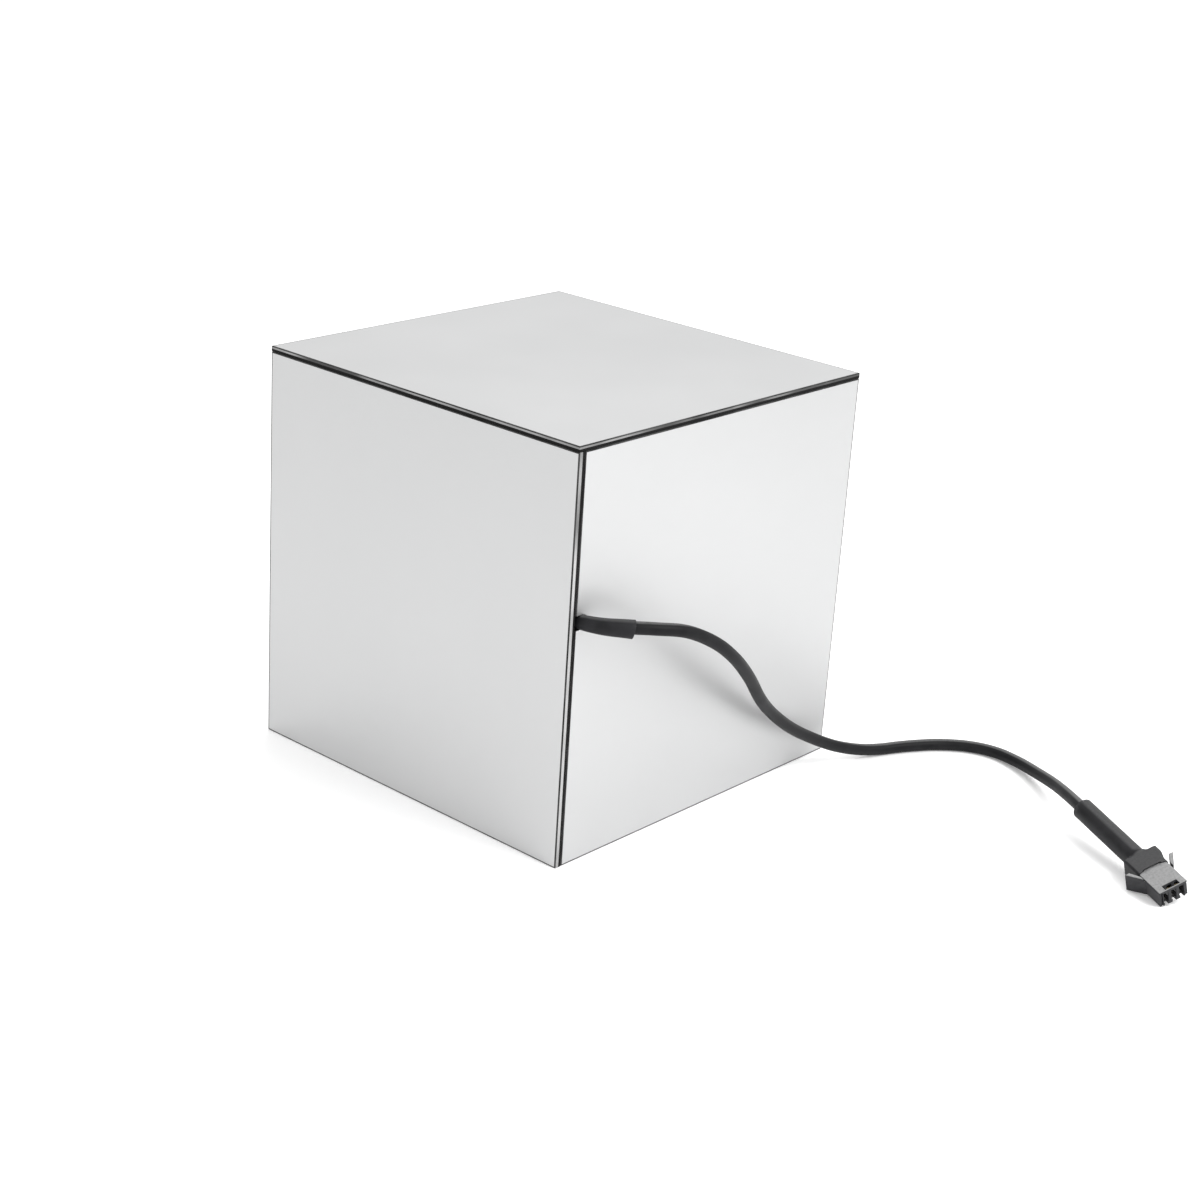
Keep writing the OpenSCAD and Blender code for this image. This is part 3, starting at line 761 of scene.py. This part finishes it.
def plug_matrix():
    """The plug's own frame: +X out of the mouth and +Z on the window's side."""
    mouth = [m for m in frame["record"]["mounts"] if m["name"] == "plug_mouth"][0]
    hinge = [j for j in frame["joints"] if j["name"] == "far_latch_squeeze"][0]
    forward = Vector(mouth["axis"]).normalized()
    top = Vector(hinge["axis"]).normalized()
    side = top.cross(forward).normalized()
    top = forward.cross(side)
    turn = Matrix((forward, side, top)).transposed().to_4x4()
    return Matrix.Translation(mouth["pos_m"]) @ turn


def plug_box(node):
    """A CAD node's lowest and highest corners in the plug's own frame."""
    back = PLUG.inverted()
    points = [back @ v.co for v in frame["nodes"][node].data.vertices]
    return (Vector([min(p[k] for p in points) for k in range(3)]),
            Vector([max(p[k] for p in points) for k in range(3)]))


def to_plug(piece):
    """Takes a piece made round the origin to the plug's place."""
    piece.matrix_world = PLUG
    settle(piece)


def add_hem_ring(half_w, half_h):
    """The boot's hem: an open ring, a rectangle with round corners and close points."""
    deselect_all()
    bpy.ops.mesh.primitive_plane_add(size=2)
    ring = named("boot_skin")
    ring.scale = (half_w, half_h, 1)
    ring.rotation_euler = (math.pi / 2, 0, math.pi / 2)
    ring.location = (BOOT_HEM, 0, 0)
    settle(ring)
    bpy.ops.object.mode_set(mode="EDIT")
    bpy.ops.mesh.select_all(action="SELECT")
    bpy.ops.mesh.bevel(offset=BOOT_CORNER, segments=8, affect="VERTICES")
    bpy.ops.mesh.select_all(action="SELECT")
    bpy.ops.mesh.delete(type="ONLY_FACE")

    # Closer points along the flat stretches: first top and bottom, then the two sides
    pick_edges(ring, lambda a, b: (a - b).length > 2 * MM and abs(a.z - b.z) < 0.1 * MM)
    bpy.ops.mesh.subdivide(number_cuts=11)
    pick_edges(ring, lambda a, b: (a - b).length > 2 * MM)
    bpy.ops.mesh.subdivide(number_cuts=7)
    bpy.ops.mesh.select_all(action="SELECT")
    return ring


def places_between(start, end, steps):
    """Pairs of neighbouring places, evenly spaced from start to end."""
    places = [start + (end - start) * k / steps for k in range(steps + 1)]
    return list(zip(places, places[1:]))


def draw_on(from_x, to_x):
    """Extrudes the selected ring along the plug's X."""
    bpy.ops.mesh.extrude_region_move(TRANSFORM_OT_translate={"value": (to_x - from_x, 0, 0)})


def scale_ring(share, x):
    """Scales the selected ring about the plug's axis."""
    bpy.ops.transform.resize(value=(1, share, share), center_override=(x, 0, 0))


def ring_girth(piece):
    """The mean distance of the selected ring from the plug's axis."""
    bpy.ops.object.mode_set(mode="OBJECT")
    chosen = [v.co for v in piece.data.vertices if v.select]
    bpy.ops.object.mode_set(mode="EDIT")
    return sum(math.hypot(c.y, c.z) for c in chosen) / len(chosen)


def draw_shoulder(piece):
    """Takes the ring from the housing's shape to the round neck, in a soft shoulder."""
    start_girth = ring_girth(piece)
    stretches = places_between(BOOT_SHOULDER, BOOT_NECK, BOOT_SHOULDER_STEPS)
    for k, (from_x, to_x) in enumerate(stretches, 1):
        ease = 1 - (1 - k / BOOT_SHOULDER_STEPS) ** 2
        target = start_girth + (BOOT_DIAMETER / 2 - start_girth) * ease
        draw_on(from_x, to_x)
        bpy.ops.transform.tosphere(value=1 / (BOOT_SHOULDER_STEPS + 1 - k),
                                   center_override=(to_x, 0, 0))
        scale_ring(target / ring_girth(piece), to_x)


def shape_boot(piece, half_w):
    """Dips the hem in the middle, and fills out the boot's far side."""
    for corner in piece.data.vertices:
        place = corner.co
        if place.x > BOOT_HEM - 0.01 * MM:
            place.x -= BOOT_HEM_DIP * (1 - (place.y / half_w) ** 2)
        if BOOT_NECK < place.x < BOOT_BULGE_START and place.y > 0:
            share = min((BOOT_BULGE_START - place.x) / BOOT_BULGE_RAMP, 1)
            place.y *= 1 + BOOT_BULGE * share * share * (3 - 2 * share)


def make_boot(finishes):
    """A shrink boot: round on the lead, and drawn over the housing behind a curved hem."""
    low, high = plug_box("plug_housing")
    half_w, half_h = high.y + BOOT_WALL, high.z + BOOT_WALL
    piece = add_hem_ring(half_w, half_h)
    for from_x, to_x in places_between(BOOT_HEM, BOOT_SHOULDER, BOOT_HEM_STEPS):
        draw_on(from_x, to_x)
    draw_shoulder(piece)
    for from_x, to_x in places_between(BOOT_NECK, BOOT_END, BOOT_NECK_STEPS):
        draw_on(from_x, to_x)
    draw_on(BOOT_END, BOOT_END)
    scale_ring(LEAD_DIAMETER * COLLAR_FIT / BOOT_DIAMETER, BOOT_END)
    draw_on(BOOT_END, BOOT_END + BOOT_COLLAR)
    bpy.ops.object.mode_set(mode="OBJECT")
    shape_boot(piece, half_w)
    clean(piece)
    wall = piece.modifiers.new("wall", "SOLIDIFY")
    wall.thickness = BOOT_WALL
    wall.offset = -1
    wall.use_even_offset = True
    bpy.ops.object.modifier_apply(modifier=wall.name)
    ease_edges(piece, BOOT_EASE, least_turn=60)
    shade(piece, 40)
    piece.data.materials.append(finishes["sleeve"])
    to_plug(piece)
    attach(piece, "lamp")
    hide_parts("plug_boot")
    return piece


def make_housing(finishes):
    """The plug's housing: a block with a thin lid over the levers, three cavities,
    a window and a notched lower lip."""
    low, high = plug_box("plug_housing")
    piece = add_block("plug_shell", low, high)
    past_mouth, past_side = high.x + CUT_PAST, high.y + CUT_PAST
    past_top, past_bottom = high.z + CUT_PAST, low.z - CUT_PAST
    for side in (-1, 1):
        inner, outer = side * CORE_WIDTH / 2, side * past_side
        cut_away(piece, add_block("recess", (-RECESS_LENGTH, min(inner, outer), past_bottom),
                                  (past_mouth, max(inner, outer), high.z - LID)))
    for k in (-1, 0, 1):
        y = k * CONTACT_PITCH
        cut_away(piece, add_block(
            "cavity", (low.x + CAVITY_BACK_WALL, y - CAVITY_WIDTH / 2, -CAVITY_HEIGHT / 2),
            (past_mouth, y + CAVITY_WIDTH / 2, CAVITY_HEIGHT / 2)))
        cut_away(piece, add_block(
            "notch", (high.x - MOUTH_NOTCH[0], y - MOUTH_NOTCH[1] / 2, past_bottom),
            (past_mouth, y + MOUTH_NOTCH[1] / 2, 0)))
    front = high.x - WINDOW_SETBACK
    cut_away(piece, add_block("window", (front - WINDOW[0], -WINDOW[1] / 2, 0),
                              (front, WINDOW[1] / 2, past_top)))
    clean(piece, PLUG_MERGE)
    ease_edges(piece, MOULDED_BEVEL)
    piece.data.materials.append(finishes["plug"])
    to_plug(piece)
    shade(piece)
    level_flats(piece)
    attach(piece, "lamp")
    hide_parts("plug_housing")
    return piece


def make_lever(node, side, finishes):
    """A latch lever: a flat arm beside the mouth that flares out into a finger tab."""
    low, high = plug_box(node)
    housing_top = plug_box("plug_housing")[1]
    outer = housing_top.y
    arm_top = housing_top.z - LID - LID_GAP
    tip_out = max(abs(low.y), abs(high.y))
    piece = add_block(node + "_lever", (LEVER_ELBOW, outer - LEVER_THICKNESS, low.z),
                      (high.x, outer, arm_top))

    # The inner elbow is a mitre between the arm and its flare
    flare = Vector((low.x - LEVER_ELBOW, tip_out - outer, 0))
    run = abs(flare.x)
    for corner in piece.data.vertices:
        if corner.co.x < LEVER_ELBOW / 2 and corner.co.y < outer - LEVER_THICKNESS / 2:
            corner.co.x = LEVER_ELBOW + LEVER_THICKNESS * (flare.length - run) / flare.y
    piece.data.update()

    # The finger tab, thicker than the arm and cut off flat
    pick_faces(piece, lambda centre, normal: normal.x < -0.9)
    bpy.ops.mesh.extrude_region_move(TRANSFORM_OT_translate={"value": flare})
    tab = TAB_THICKNESS / LEVER_THICKNESS * flare.length / run
    bpy.ops.transform.resize(value=(0, tab, 1), center_override=(low.x, tip_out, 0))
    bpy.ops.object.mode_set(mode="OBJECT")

    # Clear of the housing's lid, the tab rises to the lever's full height
    clear = outer + SQUEEZE_GAP
    slice_across(piece, (0, clear, 0), (0, 1, 0))
    pick_faces(piece, lambda centre, normal: normal.z > 0.9 and centre.y > clear)
    bpy.ops.mesh.extrude_region_move(TRANSFORM_OT_translate={"value": (0, 0, high.z - arm_top)})
    bpy.ops.object.mode_set(mode="OBJECT")
    clean(piece, PLUG_MERGE)
    ease_edges(piece, MOULDED_BEVEL)
    if side < 0:
        piece.scale = (1, -1, 1)
        settle(piece)
        clean(piece, PLUG_MERGE)
    piece.data.materials.append(finishes["plug"])
    to_plug(piece)
    shade(piece)
    level_flats(piece)
    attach(piece, node)
    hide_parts(node)
    return piece


# ---------- studio ----------

def add_area(name, place, target, side, power):
    """A square soft light that faces its target."""
    lamp = bpy.data.lights.new(name, "AREA")
    lamp.shape = "SQUARE"
    lamp.size = side
    lamp.energy = power
    light = bpy.data.objects.new(name, lamp)
    bpy.context.scene.collection.objects.link(light)
    light.location = place
    light.rotation_euler = (Vector(target) - Vector(place)).to_track_quat("-Z", "Y").to_euler()


def make_studio():
    world = bpy.data.worlds.new("soft white room")
    world.use_nodes = True
    background = world.node_tree.nodes["Background"]
    background.inputs["Color"].default_value = grey(1)
    background.inputs["Strength"].default_value = WORLD_STRENGTH
    bpy.context.scene.world = world
    deselect_all()
    bpy.ops.mesh.primitive_plane_add(size=FLOOR_SIZE, location=(0, 0, -FLOOR_DROP))
    floor = named("floor")
    paper = bpy.data.materials.new("white paper")
    paper.use_nodes = True
    surface = paper.node_tree.nodes["Principled BSDF"]
    surface.inputs["Base Color"].default_value = grey(0.95)
    surface.inputs["Roughness"].default_value = 0.7
    surface.inputs["Emission Color"].default_value = grey(1)
    surface.inputs["Emission Strength"].default_value = FLOOR_GLOW
    floor.data.materials.append(paper)
    for name, (place, target, side, power) in SOFT_LIGHTS.items():
        add_area(name, place, target, side, power)
    bpy.context.scene.view_settings.view_transform = "Standard"


# ---------- the lamp ----------

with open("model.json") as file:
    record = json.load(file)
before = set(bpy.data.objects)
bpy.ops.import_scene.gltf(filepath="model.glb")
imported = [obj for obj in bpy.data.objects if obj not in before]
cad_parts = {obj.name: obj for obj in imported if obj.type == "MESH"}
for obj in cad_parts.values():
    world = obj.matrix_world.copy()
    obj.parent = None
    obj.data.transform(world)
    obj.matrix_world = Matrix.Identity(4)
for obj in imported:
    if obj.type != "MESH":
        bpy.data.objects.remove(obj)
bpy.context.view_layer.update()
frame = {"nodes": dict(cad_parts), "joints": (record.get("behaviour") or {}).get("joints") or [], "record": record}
make_camera()
lead = make_lead()
GROUPS = {"tone": make_cloudy_tone(), "grain": make_fine_grain(), "wear": make_worn_edges(),
          "dust_and_light": make_dust_and_top_light()}
finishes = make_materials()
PLUG = plug_matrix()

lead.data.materials.append(finishes["jacket"])
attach(lead, "lamp")
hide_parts("cord")
make_panels(finishes)
exit_sleeve = make_exit_sleeve(finishes)
boot = make_boot(finishes)
housing = make_housing(finishes)
near_lever = make_lever("near_latch", -1, finishes)
far_lever = make_lever("far_latch", 1, finishes)
finish_cad_nodes(finishes)
make_studio()
